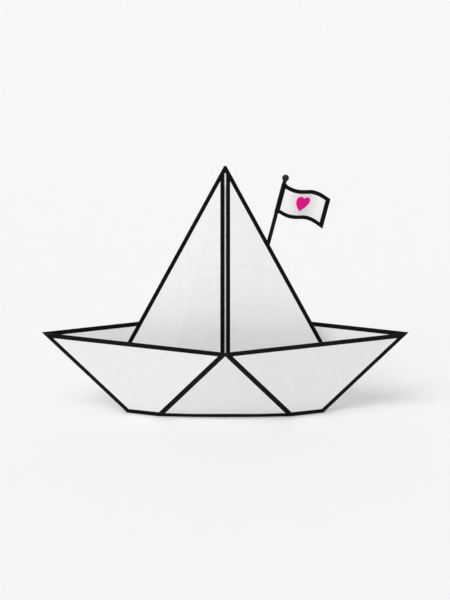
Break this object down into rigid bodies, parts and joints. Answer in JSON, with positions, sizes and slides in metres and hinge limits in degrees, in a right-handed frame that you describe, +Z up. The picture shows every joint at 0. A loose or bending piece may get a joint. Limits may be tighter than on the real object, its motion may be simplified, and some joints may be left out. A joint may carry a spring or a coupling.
{
  "type": "folded paper boat with a flag",
  "caption": "Folded paper boat with a tall hollow sail and a small waving paper flag on a leaning stick; black ink lines follow its edges and folds.",
  "frame": {"origin": "centre of the keel folds at floor level, under the middle of the boat", "axes": "+X along the boat to the flag's side, -Y out of the front with the two sail flaps, +Z up"},
  "size_m": [0.2044, 0.0766, 0.1433],
  "materials": {
    "paper": "matte",
    "flag_paper": "matte",
    "black_wood": "satin",
    "black_bead": "gloss"
  },
  "bodies": {
    "root": {"paper_boat": "paper", "flag_stick": "black_wood", "bead": "black_bead", "flag": "flag_paper"}
  },
  "joints": []
}
